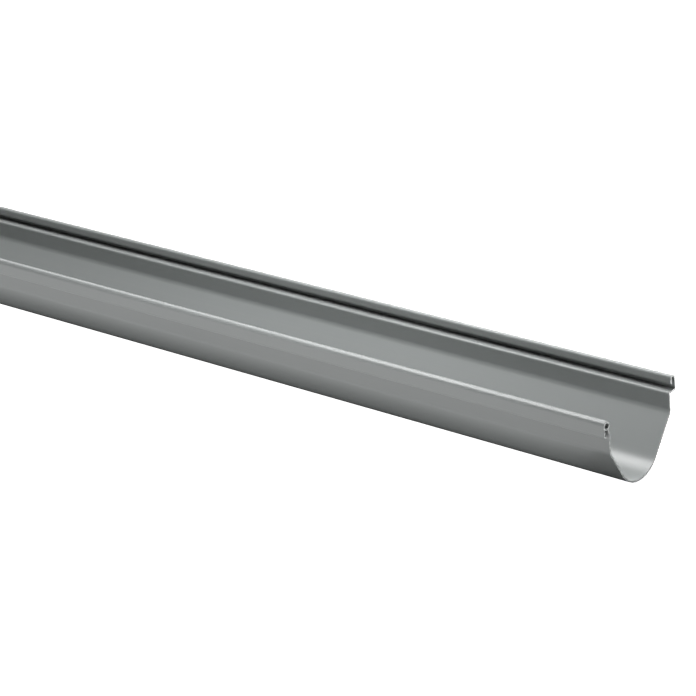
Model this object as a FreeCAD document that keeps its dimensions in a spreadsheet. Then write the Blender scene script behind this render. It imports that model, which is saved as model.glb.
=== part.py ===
"""Extruded plastic rain gutter: one length of deep, round-bottomed trough.

The section has one wall thickness all round, so it is drawn as the centreline of that wall and
thickened by half a wall to each side.  From the back it runs: clip channel, upright rear wall,
rear slope, round bottom, front slope, upright front wall, and a neck that leans out to the
hollow bead.  A drip lip hangs from the front of the bead.

In the section the origin is the centre of the round bottom, x points to the rear (the house)
and y points up when the gutter hangs on its brackets.  The weight lies above the centre of the
round bottom, so a gutter that nothing holds rolls back on to its rear slope.  The part is
placed so: rear slope flat on the floor, length along X, channel towards +Y.
"""
import FreeCAD, Part
import os
from math import cos, pi, radians, sin, tan

import Sketcher
from FreeCAD import Placement, Rotation, Vector

NODE = "gutter_section"

# Millimetres and degrees.  Reaches and heights run from the centre of the round bottom to an
# outer face, slopes and leans are measured from upright, and radii are those of outer faces.
# The channel is measured from the rear wall, and the bead's overhang from the front one.
SIZES = {
    "stock_length": 2000.0,
    "wall": 2.0,
    "bottom_radius": 36.0,
    "front_slope": 30.0,
    "rear_slope": 38.0,
    "bend_radius": 12.0,
    "front_reach": 50.0,
    "rear_reach": 57.0,
    "neck_lean": 20.0,
    "neck_radius": 8.0,
    "bead_diameter": 10.0,
    "bead_overhang": 7.5,
    "bead_height": 47.0,
    "drip_drop": 13.0,
    "drip_foot": 5.0,
    "drip_radius": 2.5,
    "channel_depth": 10.5,
    "channel_slot": 4.5,
    "channel_base": 34.5,
    "channel_height": 20.0,
    "channel_mouth": 7.0,
    "channel_pitch": 28.0,
    "channel_radius": 3.0,
    "ledge_radius": 2.5,
}

# What the sizes give: how the wall's centreline turns and heads, and the corners between its
# straights.  Names that end in _z are heights, and the other places are depths.
LAYOUT = {
    "half_wall": "Sizes.wall / 2",
    "bottom_turn": "Sizes.bottom_radius - half_wall",
    "bend_turn": "Sizes.bend_radius - half_wall",
    "neck_turn": "Sizes.neck_radius - half_wall",
    "drip_turn": "Sizes.drip_radius - half_wall",
    "channel_turn": "Sizes.channel_radius - half_wall",
    "ledge_turn": "Sizes.ledge_radius - half_wall",
    "bead_bore": "Sizes.bead_diameter / 2 - Sizes.wall",
    "bead": "Sizes.bead_diameter / 2 - Sizes.bead_overhang - Sizes.front_reach",
    "bead_z": "Sizes.bead_height",
    "drip": "half_wall - Sizes.bead_overhang - Sizes.front_reach",
    "foot": "drip + Sizes.drip_foot - Sizes.wall",
    "foot_z": "bead_z - Sizes.drip_drop + half_wall",
    "front": "half_wall - Sizes.front_reach",
    "neck_z": "bead_z - (front - bead) / tan(Sizes.neck_lean * 1 deg)",
    "front_bend_z": "-(front * cos(Sizes.front_slope * 1 deg) + bottom_turn)"
                    " / sin(Sizes.front_slope * 1 deg)",
    "keel_z": "-bottom_turn * (cos(Sizes.rear_slope * 1 deg) + cos(Sizes.front_slope * 1 deg))"
              " / sin((Sizes.rear_slope + Sizes.front_slope) * 1 deg)",
    "keel": "(bottom_turn + keel_z * sin(Sizes.rear_slope * 1 deg)) / cos(Sizes.rear_slope * 1 deg)",
    "rear": "Sizes.rear_reach - half_wall",
    "rear_bend_z": "(rear * cos(Sizes.rear_slope * 1 deg) - bottom_turn) / sin(Sizes.rear_slope * 1 deg)",
    "back": "Sizes.rear_reach + Sizes.channel_depth - half_wall",
    "clip": "back - Sizes.wall - Sizes.channel_slot",
    "base_z": "Sizes.channel_base + half_wall",
    "mouth_z": "base_z + Sizes.wall + Sizes.channel_mouth",
    "clip_top_z": "Sizes.channel_base + Sizes.channel_height - half_wall",
    "back_top_z": "clip_top_z - (back - clip) * tan(Sizes.channel_pitch * 1 deg)",
    "crown": "back - channel_turn",
    "crown_z": "back_top_z - channel_turn * tan(45 deg - Sizes.channel_pitch * 0.5 deg)",
    "laid_reach": "crown * sin(Sizes.rear_slope * 1 deg) + crown_z * cos(Sizes.rear_slope * 1 deg)"
                  " + Sizes.channel_radius",
    "neck_heading": "90 + Sizes.neck_lean",
    "front_heading": "90 + Sizes.front_slope",
    "rear_heading": "-90 - Sizes.rear_slope",
    "top_heading": "-Sizes.channel_pitch",
}

ORIGIN = (-1, 1)
START, END, CENTRE = 1, 2, 3

doc = FreeCAD.newDocument("gutter")


def fill_sheet(name, cells):
    """Write named cells to a sheet, with each name as its cell's alias."""
    sheet = doc.addObject("Spreadsheet::Sheet", name)
    for row, (alias, content) in enumerate(cells.items(), start=1):
        sheet.set(f"A{row}", alias)
        sheet.setAlias(f"B{row}", alias)
        sheet.set(f"B{row}", content)
    doc.recompute()
    return sheet


fill_sheet("Sizes", {name: str(size) for name, size in SIZES.items()})
layout = fill_sheet("Layout", {name: f"={formula}" for name, formula in LAYOUT.items()})


def corner(across, up):
    """A point of the section, from the names of its depth and its height."""
    return Vector(layout.get(across), layout.get(up), 0)


class Centreline:
    """A sketch in the section's plane: a chain of lines and arcs, each tangent to the last."""

    def __init__(self, name, start):
        self.sketch = doc.addObject("Sketcher::SketchObject", name)
        self.sketch.Placement = Placement(Vector(), Rotation(Vector(1, 1, 1), 120))
        self.point = start
        self.heading = 0.0
        self.tail = None

    def _append(self, curve, first, last):
        index = self.sketch.addGeometry(curve, False)
        if self.tail:
            self.sketch.addConstraint(Sketcher.Constraint("Tangent", *self.tail, index, first))
        self.tail = (index, last)
        return index

    def line(self, target):
        """Run straight to a point."""
        way = target - self.point
        index = self._append(Part.LineSegment(self.point, target), START, END)
        self.point = target
        self.heading = way.getAngle(Vector(1, 0, 0)) * (-1 if way.y < 0 else 1)
        return index

    def arc(self, radius, angle):
        """Turn left by an angle in radians, or right when it is negative."""
        begin = self.heading - pi / 2 if angle > 0 else self.heading + pi / 2
        finish = begin + angle
        centre = self.point - Vector(cos(begin), sin(begin), 0) * radius
        circle = Part.Circle(centre, Vector(0, 0, 1), radius)
        curve = Part.ArcOfCircle(circle, min(begin, finish), max(begin, finish))
        self.point = centre + Vector(cos(finish), sin(finish), 0) * radius
        return self._append(curve, *((START, END) if angle > 0 else (END, START)))

    def round_corner(self, at, beyond, turn):
        """Run towards a corner and round it by a named turn, to face the point beyond."""
        radius = layout.get(turn)
        before, after = at - self.point, beyond - at
        angle = before.getAngle(after) * (-1 if before.cross(after).z < 0 else 1)
        setback = radius * tan(abs(angle) / 2)
        line = self.line(at - before.normalize() * setback)
        curve = self.arc(radius, angle)
        self._hold("Radius", turn, curve)
        return line, curve

    def _hold(self, kind, name, *where, scale=1.0, unit=""):
        index = self.sketch.addConstraint(Sketcher.Constraint(kind, *where, layout.get(name) * scale))
        self.sketch.setExpression(f"Constraints[{index}]", f"Layout.{name}{unit}")

    def place(self, geometry, end, across=None, up=None):
        """Hold a point at a named depth, at a named height, or at both."""
        if across:
            self._hold("DistanceX", across, *ORIGIN, geometry, end)
        if up:
            self._hold("DistanceY", up, *ORIGIN, geometry, end)

    def head(self, line, name):
        """Hold a line's heading at a named angle."""
        self._hold("Angle", name, line, scale=radians(1), unit=" * 1 deg")

    def set_straight(self, upright=(), level=()):
        """Hold lines upright or level."""
        for kind, lines in (("Vertical", upright), ("Horizontal", level)):
            for line in lines:
                self.sketch.addConstraint(Sketcher.Constraint(kind, line))


def draw_trough():
    """The trough's centreline, from the lip of the clip channel to the middle of the bead."""
    clip_top, back_top = corner("clip", "clip_top_z"), corner("back", "back_top_z")
    back_base, ledge = corner("back", "base_z"), corner("rear", "base_z")
    rear_bend, keel = corner("rear", "rear_bend_z"), corner("keel", "keel_z")
    front_bend, neck = corner("front", "front_bend_z"), corner("front", "neck_z")
    bead = corner("bead", "bead_z")

    chain = Centreline("TroughCentreline", corner("clip", "mouth_z"))
    clip_line, _ = chain.round_corner(clip_top, back_top, "channel_turn")
    top_line, crown_arc = chain.round_corner(back_top, back_base, "channel_turn")
    back_line, _ = chain.round_corner(back_base, ledge, "channel_turn")
    ledge_line, _ = chain.round_corner(ledge, rear_bend, "ledge_turn")
    rear_line, _ = chain.round_corner(rear_bend, keel, "bend_turn")
    rear_slope, bottom = chain.round_corner(keel, front_bend, "bottom_turn")
    front_slope, _ = chain.round_corner(front_bend, neck, "bend_turn")
    front_line, _ = chain.round_corner(neck, bead, "neck_turn")
    neck_line = chain.line(bead)

    chain.set_straight(upright=(clip_line, back_line, rear_line, front_line), level=(ledge_line,))
    chain.head(top_line, "top_heading")
    chain.head(rear_slope, "rear_heading")
    chain.head(front_slope, "front_heading")
    chain.head(neck_line, "neck_heading")
    chain.sketch.addConstraint(Sketcher.Constraint("Coincident", bottom, CENTRE, *ORIGIN))
    chain.place(clip_line, START, "clip", "mouth_z")
    chain.place(crown_arc, CENTRE, "crown", "crown_z")
    chain.place(ledge_line, END, up="base_z")
    chain.place(rear_line, END, "rear")
    chain.place(front_line, START, "front")
    chain.place(neck_line, END, "bead", "bead_z")
    return chain.sketch


def draw_drip():
    """The drip lip's centreline, from the front of the bead to the tip of its foot."""
    chain = Centreline("DripCentreline", corner("drip", "bead_z"))
    drip_line, _ = chain.round_corner(corner("drip", "foot_z"), corner("foot", "foot_z"), "drip_turn")
    foot_line = chain.line(corner("foot", "foot_z"))
    chain.set_straight(upright=(drip_line,), level=(foot_line,))
    chain.place(drip_line, START, "drip", "bead_z")
    chain.place(foot_line, END, "foot", "foot_z")
    return chain.sketch


def extrude_wall(name, centreline):
    """Give a centreline its wall, and run it along the length from the middle both ways."""
    wall = doc.addObject("Part::Offset2D", f"{name}Wall")
    wall.Source = centreline
    wall.Fill = True
    wall.setExpression("Value", "Layout.half_wall")
    solid = doc.addObject("Part::Extrusion", name)
    solid.Base = wall
    solid.DirMode = "Custom"
    solid.Dir = Vector(1, 0, 0)
    solid.Symmetric = True
    solid.setExpression("LengthFwd", "Sizes.stock_length")
    return solid


def bead_cylinder(name, radius):
    """A rod along the bead's axis, over the whole length."""
    rod = doc.addObject("Part::Cylinder", name)
    rod.Placement = Placement(Vector(), Rotation(Vector(0, 1, 0), 90))
    rod.setExpression("Radius", radius)
    rod.setExpression("Height", "Sizes.stock_length")
    rod.setExpression("Placement.Base.x", "-Sizes.stock_length / 2")
    rod.setExpression("Placement.Base.y", "Layout.bead")
    rod.setExpression("Placement.Base.z", "Layout.bead_z")
    return rod


def lay_down(gutter):
    """Roll the gutter back on to its rear slope, with the middle of its width over the origin."""
    gutter.Placement = Placement(Vector(), Rotation(Vector(1, 0, 0), -90))
    gutter.setExpression("Placement.Rotation.Angle", "(Sizes.rear_slope - 90) * 1 deg")
    gutter.setExpression("Placement.Base.z", "Sizes.bottom_radius")
    gutter.setExpression("Placement.Base.y", "(Sizes.bottom_radius - Layout.laid_reach) / 2")


def build_gutter():
    """Join the trough, the drip lip and the bead, and bore the bead."""
    joined = doc.addObject("Part::MultiFuse", "SolidBead")
    joined.Shapes = [
        extrude_wall("Trough", draw_trough()),
        extrude_wall("Drip", draw_drip()),
        bead_cylinder("Bead", "Sizes.bead_diameter / 2"),
    ]
    gutter = doc.addObject("Part::Cut", "Gutter")
    gutter.Base = joined
    gutter.Tool = bead_cylinder("BeadBore", "Layout.bead_bore")
    gutter.Refine = True
    gutter.Label = NODE
    lay_down(gutter)
    return gutter


def check(gutter):
    """Stop unless every object is built and held, and the gutter is one sound solid."""
    for item in doc.Objects:
        if {"Invalid", "Error"} & set(item.State):
            raise RuntimeError(f"{item.Name} did not build: {item.State}")
        if item.isDerivedFrom("Sketcher::SketchObject") and item.DoF:
            raise RuntimeError(f"{item.Name} is not held by its dimensions")
    if gutter.Shape.isNull() or not gutter.Shape.isValid() or len(gutter.Shape.Solids) != 1:
        raise RuntimeError(f"{gutter.Label} is not one valid solid")


gutter = build_gutter()
doc.recompute()
check(gutter)
os.makedirs("parts", exist_ok=True)
gutter.Shape.exportStep(f"parts/{gutter.Label}.step")
box = gutter.Shape.BoundBox
print(f"{gutter.Label}: {box.XLength:.1f} x {box.YLength:.1f} x {box.ZLength:.1f} mm,"
      f" centred on y = {box.Center.y:.3f}, section {gutter.Shape.Volume / box.XLength:.1f} mm2")
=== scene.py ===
"""Looks of the rain gutter: a two-metre length of grey extruded PVC in a bright studio.

The section is drawn as the gutter hangs: the origin is the centre of its round bottom, y runs
to the rear (the house) and z runs up.  The stock lies rolled back on its rear slope, so one
turn about the length takes the hung section to where it lies, and the lamps turn with it.
"""
import logging
from dataclasses import dataclass
from enum import Enum, IntEnum
from math import ceil, cos, degrees, pi, radians, sin, tan

import bmesh
import bpy
from mathutils import Matrix, Vector
from mathutils.geometry import delaunay_2d_cdt


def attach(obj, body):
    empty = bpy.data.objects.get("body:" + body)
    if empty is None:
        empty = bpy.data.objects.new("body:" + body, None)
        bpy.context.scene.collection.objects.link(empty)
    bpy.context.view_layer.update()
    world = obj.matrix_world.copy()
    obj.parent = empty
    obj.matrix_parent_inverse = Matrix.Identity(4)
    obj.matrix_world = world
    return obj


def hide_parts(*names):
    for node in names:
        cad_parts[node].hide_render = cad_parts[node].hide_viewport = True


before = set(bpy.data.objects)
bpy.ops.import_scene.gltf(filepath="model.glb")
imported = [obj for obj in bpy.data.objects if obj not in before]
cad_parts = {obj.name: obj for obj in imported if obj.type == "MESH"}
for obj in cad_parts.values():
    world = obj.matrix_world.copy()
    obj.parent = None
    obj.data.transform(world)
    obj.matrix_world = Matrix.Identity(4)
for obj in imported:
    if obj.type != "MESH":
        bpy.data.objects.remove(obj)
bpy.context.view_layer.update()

MM = 0.001
WAVE_RATE = 20  # Blender's wave texture turns this many radians a unit at a scale of 1.
CAP_STEPS = 16
DISC_STEPS = 72

logger = logging.getLogger("gutter")


def linear(colour: str) -> tuple[float, float, float, float]:
    """Turn an sRGB hex colour into Blender's linear one.

    Args:
        colour: six hex digits, such as "808382".

    Returns:
        Linear red, green and blue, and an alpha of 1.
    """
    channels = [int(colour[i:i + 2], 16) / 255 for i in (0, 2, 4)]
    return (*[c / 12.92 if c <= 0.04045 else ((c + 0.055) / 1.055) ** 2.4 for c in channels], 1.0)


def add_node(tree: bpy.types.NodeTree, kind: str, settings: dict | None = None,
             **inputs: object) -> bpy.types.Node:
    """Add a node, set its properties, and fill or link its inputs.

    Args:
        tree: the node tree that gets the node.
        kind: the node's type, without "ShaderNode".
        settings: properties of the node itself.
        inputs: a value, or an output socket to link, for each input.  Spaces in a socket's name
            are written as underscores, and a socket's number as i0, i1 and so on.

    Returns:
        The new node.
    """
    node = tree.nodes.new(f"ShaderNode{kind}")
    for name, setting in (settings or {}).items():
        setattr(node, name, setting)
    for name, content in inputs.items():
        key = int(name[1:]) if name[1:].isdigit() else name.replace("_", " ")
        socket = node.inputs[key]
        if isinstance(content, bpy.types.NodeSocket):
            tree.links.new(content, socket)
        else:
            socket.default_value = content
    return node


def bare_material(name: str) -> bpy.types.Material:
    """Make a material with no nodes.

    Args:
        name: what it is made of and how.

    Returns:
        The material.
    """
    material = bpy.data.materials.new(name)
    material.use_nodes = True
    material.node_tree.nodes.clear()
    return material


class Surface(IntEnum):
    """The two surfaces of the stock, in the order of its material slots."""

    SKIN = 0
    SAWN = 1


@dataclass(frozen=True)
class ExtrudedPvc:
    """Rigid PVC, dyed through with grey pigment and drawn through a sizing die.

    The die leaves a satin skin: nearly even grey, with hair-fine lines and slow changes of gloss
    that all run along the length.
    """

    colour: str = "808382"
    streak_colour: str = "797C7C"
    roughness: float = 0.34
    ior: float = 1.53
    die_line_mm: float = 1.1
    die_line_run_mm: float = 900.0
    cloud_mm: float = 45.0
    cloud_run_mm: float = 260.0
    peel_mm: float = 1.6
    relief_mm: float = 0.02
    line_strength: float = 0.25
    peel_strength: float = 0.2
    gloss_change: float = 0.04

    def build(self) -> bpy.types.Material:
        """Make the material.

        Returns:
            The skin of the stock.
        """
        material = bare_material("extruded_pvc_satin")
        tree = material.node_tree
        place = add_node(tree, "TexCoord").outputs["Object"]
        # Both patterns are drawn out along the stock, as the die draws the plastic.
        along = Vector((1 / self.die_line_run_mm, 1 / self.die_line_mm, 1 / self.die_line_mm)) / MM
        slow = Vector((1 / self.cloud_run_mm, 1 / self.cloud_mm, 1 / self.cloud_mm)) / MM
        lines = add_node(tree, "TexNoise", Vector=add_node(
            tree, "Mapping", Vector=place, Scale=along).outputs[0], Scale=1.0, Detail=3.0)
        clouds = add_node(tree, "TexNoise", Vector=add_node(
            tree, "Mapping", Vector=place, Scale=slow).outputs[0], Scale=1.0, Detail=2.0)
        peel = add_node(tree, "TexNoise", Vector=place, Scale=1 / (self.peel_mm * MM), Detail=2.0)
        tint = add_node(
            tree, "Mix", {"data_type": "RGBA"}, Factor=add_node(
                tree, "Math", {"operation": "MULTIPLY_ADD"}, i0=lines.outputs["Fac"], i1=0.5,
                i2=add_node(tree, "Math", {"operation": "MULTIPLY"}, i0=clouds.outputs["Fac"],
                            i1=0.5).outputs[0]).outputs[0],
            i6=linear(self.colour), i7=linear(self.streak_colour))
        gloss = add_node(
            tree, "MapRange", Value=clouds.outputs["Fac"], From_Min=0.3, From_Max=0.7,
            To_Min=self.roughness - self.gloss_change, To_Max=self.roughness + self.gloss_change)
        ridged = add_node(
            tree, "Bump", Height=lines.outputs["Fac"], Strength=self.line_strength,
            Distance=self.relief_mm * MM)
        peeled = add_node(
            tree, "Bump", Height=peel.outputs["Fac"], Strength=self.peel_strength,
            Distance=self.relief_mm * MM, Normal=ridged.outputs[0])
        shader = add_node(
            tree, "BsdfPrincipled", Base_Color=tint.outputs[2], Roughness=gloss.outputs[0],
            IOR=self.ior, Normal=peeled.outputs[0])
        add_node(tree, "OutputMaterial", Surface=shader.outputs[0])
        return material


@dataclass(frozen=True)
class SawnPvc:
    """The same PVC where a fine-toothed circular saw has cut the stock to length.

    The teeth leave shallow arcs, and the torn surface is matt and a shade paler than the skin.
    Real tooth marks lie under 1 mm apart, and they are drawn coarser here so that they show.
    """

    colour: str = "999C9B"
    # Painted shade: the grooves of the tooth arcs get this darker grey, as shade in the grooves.
    groove_shade_colour: str = "858887"
    roughness: float = 0.6
    ior: float = 1.53
    arc_mm: float = 5.655
    blade_radius_mm: float = 150.0
    relief_mm: float = 0.05
    relief_strength: float = 0.4

    def build(self) -> bpy.types.Material:
        """Make the material.

        Returns:
            The cut ends of the stock.
        """
        material = bare_material("sawn_pvc")
        tree = material.node_tree
        place = add_node(tree, "TexCoord").outputs["Object"]
        hub = add_node(tree, "Mapping", Vector=place, Location=(0, self.blade_radius_mm * MM, 0))
        rings = add_node(
            tree, "TexWave", {"wave_type": "RINGS", "rings_direction": "X"}, Vector=hub.outputs[0],
            Scale=2 * pi / (WAVE_RATE * self.arc_mm * MM), Distortion=1.5, Detail=2.0)
        # Painted shade in the grooves: the low parts of the tooth arcs are painted darker,
        # alongside the relief.
        tint = add_node(tree, "Mix", {"data_type": "RGBA"}, Factor=rings.outputs["Fac"],
                        i6=linear(self.groove_shade_colour), i7=linear(self.colour))
        relief = add_node(
            tree, "Bump", Height=rings.outputs["Fac"], Strength=self.relief_strength,
            Distance=self.relief_mm * MM)
        shader = add_node(
            tree, "BsdfPrincipled", Base_Color=tint.outputs[2], Roughness=self.roughness,
            IOR=self.ior, Normal=relief.outputs[0])
        add_node(tree, "OutputMaterial", Surface=shader.outputs[0])
        return material


@dataclass(frozen=True)
class BacklitOpal:
    """Opal acrylic lit from behind: an even white that no shadow greys."""

    colour: str = "FFFFFF"
    glow: float = 1.1

    def build(self) -> bpy.types.Material:
        """Make the material.

        Returns:
            The studio's floor and backdrop.
        """
        material = bare_material("backlit_opal_acrylic")
        tree = material.node_tree
        shader = add_node(
            tree, "BsdfPrincipled", Base_Color=linear(self.colour), Roughness=0.6,
            Emission_Color=linear(self.colour), Emission_Strength=self.glow)
        add_node(tree, "OutputMaterial", Surface=shader.outputs[0])
        return material


@dataclass
class Centreline:
    """The middle of a wall in the hung section: straights joined by tangent arcs.

    Attributes:
        corners: each corner as (y, z, radius); the two ends have no radius.
        step: the longest piece of a straight, in millimetres.
        turn: the largest turn between two points of an arc, in degrees.
    """

    corners: list[tuple[float, float, float]]
    step: float = 2.5
    turn: float = 3.0

    def points(self) -> list[tuple[Vector, Vector]]:
        """Walk along the line.

        Returns:
            Points of the line, each with the direction there.
        """
        places = [Vector(corner[:2]) for corner in self.corners]
        walk: list[tuple[Vector, Vector]] = []
        start = places[0]
        for last, here, after, (_, _, radius) in zip(
                places, places[1:], places[2:], self.corners[1:]):
            heading = (here - last).normalized()
            angle = -heading.angle_signed((after - here).normalized())
            bend = here - heading * radius * tan(abs(angle) / 2)
            self._straight(walk, start, bend, heading)
            start = self._arc(walk, bend, heading, radius, angle)
        self._straight(walk, start, places[-1], (places[-1] - places[-2]).normalized())
        return walk

    def _straight(self, walk: list[tuple[Vector, Vector]], start: Vector, end: Vector,
                  heading: Vector) -> None:
        """Add the points of a straight."""
        pieces = max(1, ceil((end - start).length / self.step))
        walk += [(start.lerp(end, i / pieces), heading) for i in range(pieces + 1) if i or not walk]

    def _arc(self, walk: list[tuple[Vector, Vector]], start: Vector, heading: Vector, radius: float,
             angle: float) -> Vector:
        """Add the points of an arc.

        Args:
            walk: the list that gets the points.
            start: where the arc begins.
            heading: the direction there.
            radius: the arc's radius.
            angle: its turn to the left, in radians.

        Returns:
            Where the arc ends.
        """
        side = 1 if angle > 0 else -1
        centre = start + Vector((-heading.y, heading.x)) * radius * side
        pieces = max(1, ceil(abs(degrees(angle)) / self.turn))
        for i in range(1, pieces + 1):
            turned = Matrix.Rotation(angle * i / pieces, 2)
            walk.append((centre + turned @ (start - centre), turned @ heading))
        return walk[-1][0]

    def wall(self, thickness: float) -> list[Vector]:
        """Thicken the line to a wall with round ends.

        Args:
            thickness: the wall's thickness.

        Returns:
            The wall's closed outline.
        """
        walk = self.points()
        half = thickness / 2
        left = [point + Vector((-way.y, way.x)) * half for point, way in walk]
        right = [point - Vector((-way.y, way.x)) * half for point, way in walk]
        (first, way_in), (last, way_out) = walk[0], walk[-1]
        return (left + self._cap(last, way_out, half)
                + right[::-1] + self._cap(first, -way_in, half))

    @staticmethod
    def _cap(end: Vector, outward: Vector, half: float) -> list[Vector]:
        """The points of a round end, without its first and last."""
        left = Vector((-outward.y, outward.x)) * half
        return [end + Matrix.Rotation(-pi * i / CAP_STEPS, 2) @ left for i in range(1, CAP_STEPS)]


@dataclass
class GutterSection:
    """The stock: one extruded length with a clip channel, a hollow bead and a drip lip.

    Lengths are in millimetres and angles in degrees.
    """

    length: float = 2000.0
    wall: float = 2.0
    bottom_radius: float = 36.0
    front_slope: float = 30.0
    rear_slope: float = 38.0
    bend_radius: float = 12.0
    front_reach: float = 50.0
    rear_reach: float = 57.0
    neck_lean: float = 20.0
    neck_radius: float = 8.0
    bead_diameter: float = 10.0
    bead_overhang: float = 7.5
    bead_height: float = 47.0
    drip_drop: float = 13.0
    drip_foot: float = 5.0
    drip_radius: float = 2.5
    channel_depth: float = 10.5
    channel_slot: float = 4.5
    channel_base: float = 34.5
    channel_height: float = 20.0
    channel_mouth: float = 7.0
    channel_pitch: float = 28.0
    channel_radius: float = 3.0
    ledge_radius: float = 2.5

    def _slope_meets(self, reach: float, slope: float) -> float:
        """The height where a slope's centreline meets the upright wall beside it."""
        lean, half = radians(slope), self.wall / 2
        return ((reach - half) * cos(lean) - self.bottom_radius + half) / sin(lean)

    def _bead(self) -> Vector:
        """The middle of the bead."""
        front = self.front_reach + self.bead_overhang
        return Vector((self.bead_diameter / 2 - front, self.bead_height))

    def trough_line(self) -> Centreline:
        """Lay out the trough.

        Returns:
            The centreline from the lip of the clip channel to the middle of the bead.
        """
        half = self.wall / 2
        rear, front = self.rear_reach - half, half - self.front_reach
        back = self.rear_reach + self.channel_depth - half
        clip = back - self.wall - self.channel_slot
        base, clip_top = self.channel_base + half, self.channel_base + self.channel_height - half
        back_top = clip_top - (back - clip) * tan(radians(self.channel_pitch))
        bottom = self.bottom_radius - half
        ahead, behind = radians(self.front_slope), radians(self.rear_slope)
        keel_z = -bottom * (cos(behind) + cos(ahead)) / sin(ahead + behind)
        keel = (bottom + keel_z * sin(behind)) / cos(behind)
        bead = self._bead()
        neck_z = bead.y - (front - bead.x) / tan(radians(self.neck_lean))
        channel = self.channel_radius - half
        return Centreline([
            (clip, base + self.wall + self.channel_mouth, 0),
            (clip, clip_top, channel),
            (back, back_top, channel),
            (back, base, channel),
            (rear, base, self.ledge_radius - half),
            (rear, self._slope_meets(self.rear_reach, self.rear_slope), self.bend_radius - half),
            (keel, keel_z, bottom),
            (front, self._slope_meets(self.front_reach, self.front_slope), self.bend_radius - half),
            (front, neck_z, self.neck_radius - half),
            (bead.x, bead.y, 0),
        ])

    def drip_line(self) -> Centreline:
        """Lay out the drip lip.

        Returns:
            The centreline from the front of the bead to the tip of the lip's foot.
        """
        half = self.wall / 2
        drip = half - self.bead_overhang - self.front_reach
        foot_z = self.bead_height - self.drip_drop + half
        return Centreline([
            (drip, self.bead_height, 0),
            (drip, foot_z, self.drip_radius - half),
            (drip + self.drip_foot - self.wall, foot_z, 0),
        ])

    def _disc(self, radius: float) -> list[Vector]:
        """A round outline about the middle of the bead."""
        turns = [Matrix.Rotation(2 * pi * i / DISC_STEPS, 2) for i in range(DISC_STEPS)]
        return [self._bead() + turn @ Vector((radius, 0)) for turn in turns]

    def filled_section(self) -> tuple[list[Vector], list[list[int]]]:
        """Fill the section: two walls and the bead, without the bead's bore.

        Returns:
            The points of the section, and triangles that index them.
        """
        outlines = [
            self.trough_line().wall(self.wall),
            self.drip_line().wall(self.wall),
            self._disc(self.bead_diameter / 2),
            self._disc(self.bead_diameter / 2 - self.wall),
        ]
        bore = len(outlines) - 1
        points = [point for outline in outlines for point in outline]
        faces, first = [], 0
        for outline in outlines:
            faces.append(list(range(first, first + len(outline))))
            first += len(outline)
        points, _, triangles, _, _, sources = delaunay_2d_cdt(points, [], faces, 1, 1e-4)
        return points, [t for t, source in zip(triangles, sources) if source and bore not in source]

    def lay(self, point: Vector) -> tuple[float, float]:
        """Take a point of the hung section to where the stock lies.

        Args:
            point: depth and height in the hung section, in millimetres.

        Returns:
            The point's y and z as the stock lies, in metres.
        """
        turn = radians(90 - self.rear_slope)
        return (
            (point.x * cos(turn) + point.y * sin(turn) + self._shift()) * MM,
            (-point.x * sin(turn) + point.y * cos(turn) + self.bottom_radius) * MM,
        )

    def hung(self) -> Matrix:
        """Take the hung gutter to where it lies.

        Returns:
            The turn and the move, in metres, for points measured from the centre of the bottom.
        """
        turn = Matrix.Rotation(radians(self.rear_slope - 90), 4, "X")
        return Matrix.Translation((0, *self.lay(Vector((0, 0))))) @ turn

    def _shift(self) -> float:
        """Work out the move that puts the middle of the lying stock's width at y = 0.

        Returns:
            The y of the centre of the round bottom, in millimetres.
        """
        crown = self.rear_reach + self.channel_depth - self.channel_radius
        turn = self.channel_radius - self.wall / 2
        fall = (self.channel_slot + self.wall) * tan(radians(self.channel_pitch))
        crown_z = (self.channel_base + self.channel_height - self.wall / 2 - fall
                   - turn * tan(radians(45 - self.channel_pitch / 2)))
        lean = radians(self.rear_slope)
        reach = crown * sin(lean) + crown_z * cos(lean) + self.channel_radius
        return (self.bottom_radius - reach) / 2

    def build(self) -> bpy.types.Object:
        """Extrude the section and dress it.

        Returns:
            The gutter, riding on the frame.
        """
        points, triangles = self.filled_section()
        mesh = bmesh.new()
        ends = []
        for x in (-self.length / 2 * MM, self.length / 2 * MM):
            vertices = [mesh.verts.new((x, *self.lay(point))) for point in points]
            ends.append(vertices)
            for triangle in triangles:
                cut = mesh.faces.new([vertices[i] for i in triangle])
                cut.material_index = Surface.SAWN
        rim = self._rim(triangles)
        for a, b in rim:
            side = mesh.faces.new((ends[0][a], ends[0][b], ends[1][b], ends[1][a]))
            side.material_index = Surface.SKIN
            side.smooth = True
        bmesh.ops.recalc_face_normals(mesh, faces=mesh.faces)
        loose = [vertex for vertex in mesh.verts if not vertex.link_faces]
        bmesh.ops.delete(mesh, geom=loose, context="VERTS")
        data = bpy.data.meshes.new("gutter_stock")
        mesh.to_mesh(data)
        mesh.free()
        data.set_sharp_from_angle(angle=radians(30))
        gutter = bpy.data.objects.new("gutter_stock", data)
        bpy.context.scene.collection.objects.link(gutter)
        for finish in (ExtrudedPvc(), SawnPvc()):
            data.materials.append(finish.build())
        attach(gutter, "root")
        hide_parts("gutter_section")
        return gutter

    @staticmethod
    def _rim(triangles: list[list[int]]) -> list[tuple[int, int]]:
        """Find the edges that only one triangle has.

        Args:
            triangles: the filled section.

        Returns:
            Its outline's edges, the bore's among them.
        """
        edges = [(t[i], t[(i + 1) % len(t)]) for t in triangles for i in range(len(t))]
        known = set(edges)
        return [edge for edge in edges if edge[::-1] not in known]


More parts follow.
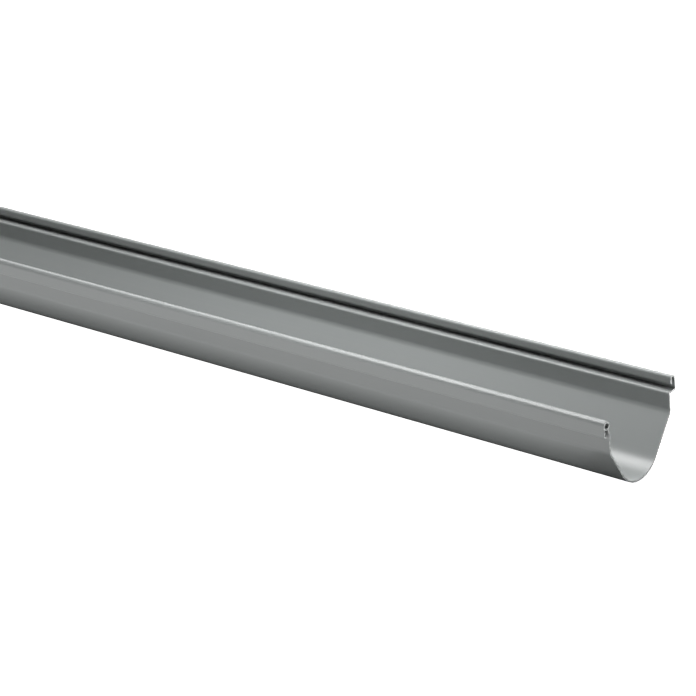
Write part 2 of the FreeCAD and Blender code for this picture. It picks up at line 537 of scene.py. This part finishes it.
class LampKind(Enum):
    """The lamps of the studio, named for where they stand as the gutter hangs."""

    OVERHEAD = "overhead_softbox"
    OVERHEAD_NEAR = "overhead_softbox_near"
    OVERHEAD_REAR = "overhead_softbox_rear"
    FRONT = "front_softbox"
    REAR_LEFT = "rear_softbox_left"
    REAR = "rear_softbox"
    REAR_LOW = "rear_softbox_low"
    RIGHT = "right_softbox"
    BEAD_STRIP = "bead_strip"
    CHANNEL_STRIP = "channel_strip"
    BACK_STRIP = "back_strip"
    FRONT_STRIP = "front_strip"
    NEAR_BOUNCE = "near_bounce_card"
    MIDDLE_BOUNCE = "middle_bounce_card"
    FAR_BOUNCE = "far_bounce_card"


@dataclass(frozen=True)
class Lamp:
    """A softbox or a bounce card that lights the gutter and that the camera does not see.

    Places are in metres from the centre of the round bottom, at the middle of the length.

    Attributes:
        kind: which lamp it is.
        place: where it stands as the gutter hangs.
        aim: the point that it faces.
        size: its length along the gutter and its width, in metres.
        power: its power in watts.
    """

    kind: LampKind
    place: tuple[float, float, float]
    aim: tuple[float, float, float]
    size: tuple[float, float]
    power: float

    def build(self, hung: Matrix) -> bpy.types.Object:
        """Set the lamp up.

        Args:
            hung: takes the hung gutter to where it lies.

        Returns:
            The lamp.
        """
        data = bpy.data.lights.new(self.kind.value, "AREA")
        data.shape = "RECTANGLE"
        data.size, data.size_y = self.size
        data.energy = self.power
        lamp = bpy.data.objects.new(self.kind.value, data)
        outward = (Vector(self.place) - Vector(self.aim)).normalized()
        length_way = Vector((1, 0, 0)) - outward * outward.x
        if length_way.length < 0.1:
            length_way = Vector((0, 0, 1))
        length_way.normalize()
        facing = Matrix((length_way, outward.cross(length_way), outward)).transposed().to_4x4()
        lamp.matrix_world = hung @ Matrix.Translation(Vector(self.place)) @ facing
        lamp.visible_camera = False
        bpy.context.scene.collection.objects.link(lamp)
        return lamp


@dataclass
class Studio:
    """A white floor and backdrop, softboxes and the tone of the picture.

    Attributes:
        hung: takes the hung gutter to where it lies, in metres.
        reach: the radius of the floor.
        segments: the sides of the floor's rim.
        ambient: the strength of the weak light from all round.
        lamps: the softboxes and bounce cards.
    """

    hung: Matrix
    reach: float = 30.0
    segments: int = 64
    ambient: float = 0.02
    lamps: tuple[Lamp, ...] = (
        Lamp(LampKind.OVERHEAD, (0.2, -0.347, 1.970), (0.2, 0, 0.01), (1.8, 0.7), 23.0),
        Lamp(LampKind.OVERHEAD_NEAR, (0.62, -0.07, 0.395), (0.62, 0, 0.01), (0.5, 0.2), 1.4),
        Lamp(LampKind.OVERHEAD_REAR, (0.2, 0.347, 1.970), (0.2, 0, 0.01), (1.8, 0.7), 12.6),
        Lamp(LampKind.FRONT, (0.2, -2.0, 0.0), (0.2, 0, 0.01), (1.8, 0.7), 1.3),
        Lamp(LampKind.REAR_LEFT, (-1.6, 1.0, 1.732), (-1.6, 0, 0.01), (1.8, 0.7), 10.0),
        Lamp(LampKind.REAR, (0.2, 1.0, 1.732), (0.2, 0, 0.01), (1.8, 0.7), 6.3),
        Lamp(LampKind.REAR_LOW, (0.2, 1.532, 1.286), (0.2, 0, 0.01), (1.8, 0.7), 12.6),
        Lamp(LampKind.RIGHT, (3.5, -0.3, 0.6), (1.0, 0, 0), (1.5, 1.5), 10.0),
        Lamp(LampKind.BEAD_STRIP, (0, 0.0439, 0.1619), (0, -0.0525, 0.047), (2.6, 0.06), 1.5),
        Lamp(LampKind.CHANNEL_STRIP, (0, 0.0087, 0.191), (0, 0.06, 0.05), (2.6, 0.06), 0.24),
        Lamp(LampKind.BACK_STRIP, (0, 0.2077, 0.024), (0, 0.06, 0.05), (2.6, 0.06), 12.1),
        Lamp(LampKind.FRONT_STRIP, (0, -0.3, 0.04), (0, -0.05, 0.04), (2.6, 0.1), 0.78),
        Lamp(LampKind.NEAR_BOUNCE, (-0.85, -0.0725, -0.037), (-0.85, -0.0725, 1),
             (3.6, 0.055), 0.5),
        Lamp(LampKind.MIDDLE_BOUNCE, (0, -0.15, -0.037), (0, -0.15, 1), (3.6, 0.1), 1.73),
        Lamp(LampKind.FAR_BOUNCE, (0, -0.325, -0.037), (0, -0.325, 1), (3.6, 0.25), 4.5),
    )

    def build(self) -> list[bpy.types.Object]:
        """Build the floor, the backdrop and the lamps.

        Returns:
            What was made.
        """
        made = [lamp.build(self.hung) for lamp in self.lamps]
        made.append(self._sweep())
        self._air()
        return made

    def _sweep(self) -> bpy.types.Object:
        """Build the floor and the dome above it as one sheet.

        Returns:
            The sheet, which only the camera sees, so that it lights nothing.
        """
        mesh = bmesh.new()
        bmesh.ops.create_uvsphere(
            mesh, u_segments=self.segments, v_segments=self.segments // 2, radius=self.reach)
        below = [vertex for vertex in mesh.verts if vertex.co.z < -0.1 * MM]
        bmesh.ops.delete(mesh, geom=below, context="VERTS")
        rim = [edge for edge in mesh.edges if edge.is_boundary]
        bmesh.ops.contextual_create(mesh, geom=rim)
        data = bpy.data.meshes.new("studio_sweep")
        mesh.to_mesh(data)
        mesh.free()
        data.materials.append(BacklitOpal().build())
        sweep = bpy.data.objects.new("studio_sweep", data)
        bpy.context.scene.collection.objects.link(sweep)
        sweep.visible_diffuse = False
        sweep.visible_glossy = False
        sweep.visible_shadow = False
        return sweep

    def _air(self) -> None:
        """Set the weak light from all round and the plain tone curve."""
        world = bpy.data.worlds.new("studio_air")
        world.use_nodes = True
        background = world.node_tree.nodes["Background"]
        background.inputs["Color"].default_value = linear("FFFFFF")
        background.inputs["Strength"].default_value = self.ambient
        scene = bpy.context.scene
        scene.world = world
        scene.view_settings.view_transform = "Standard"
        scene.view_settings.look = "None"


@dataclass
class PictureCamera:
    """A long lens, above the right-hand end and rolled so that the gutter looks upright."""

    place: tuple[float, float, float] = (2.353916, -0.238781, 2.277388)
    right: tuple[float, float, float] = (0.764879, 0.318737, -0.559792)
    up: tuple[float, float, float] = (-0.204399, 0.944188, 0.258322)
    lens: float = 136.655
    sensor: float = 36.0

    def build(self) -> bpy.types.Object:
        """Set the camera up.

        Returns:
            The scene's camera.
        """
        data = bpy.data.cameras.new("picture_camera")
        data.lens = self.lens
        data.sensor_width = self.sensor
        data.clip_start, data.clip_end = 0.05, 100.0
        camera = bpy.data.objects.new("picture_camera", data)
        right, up = Vector(self.right).normalized(), Vector(self.up).normalized()
        turn = Matrix((right, up, right.cross(up))).transposed()
        camera.matrix_world = Matrix.Translation(Vector(self.place)) @ turn.to_4x4()
        bpy.context.scene.collection.objects.link(camera)
        bpy.context.scene.camera = camera
        return camera


def main() -> None:
    """Build the gutter, the studio and the camera, and log the gutter's faces and each name."""
    logging.basicConfig(level=logging.INFO, format="%(name)s: %(message)s")
    section = GutterSection()
    gutter = section.build()
    logger.info("%s: %d faces", gutter.name, len(gutter.data.polygons))
    for item in Studio(section.hung()).build():
        logger.info("%s", item.name)
    camera = PictureCamera().build()
    logger.info("%s", camera.name)


if __name__ == "__main__":
    main()
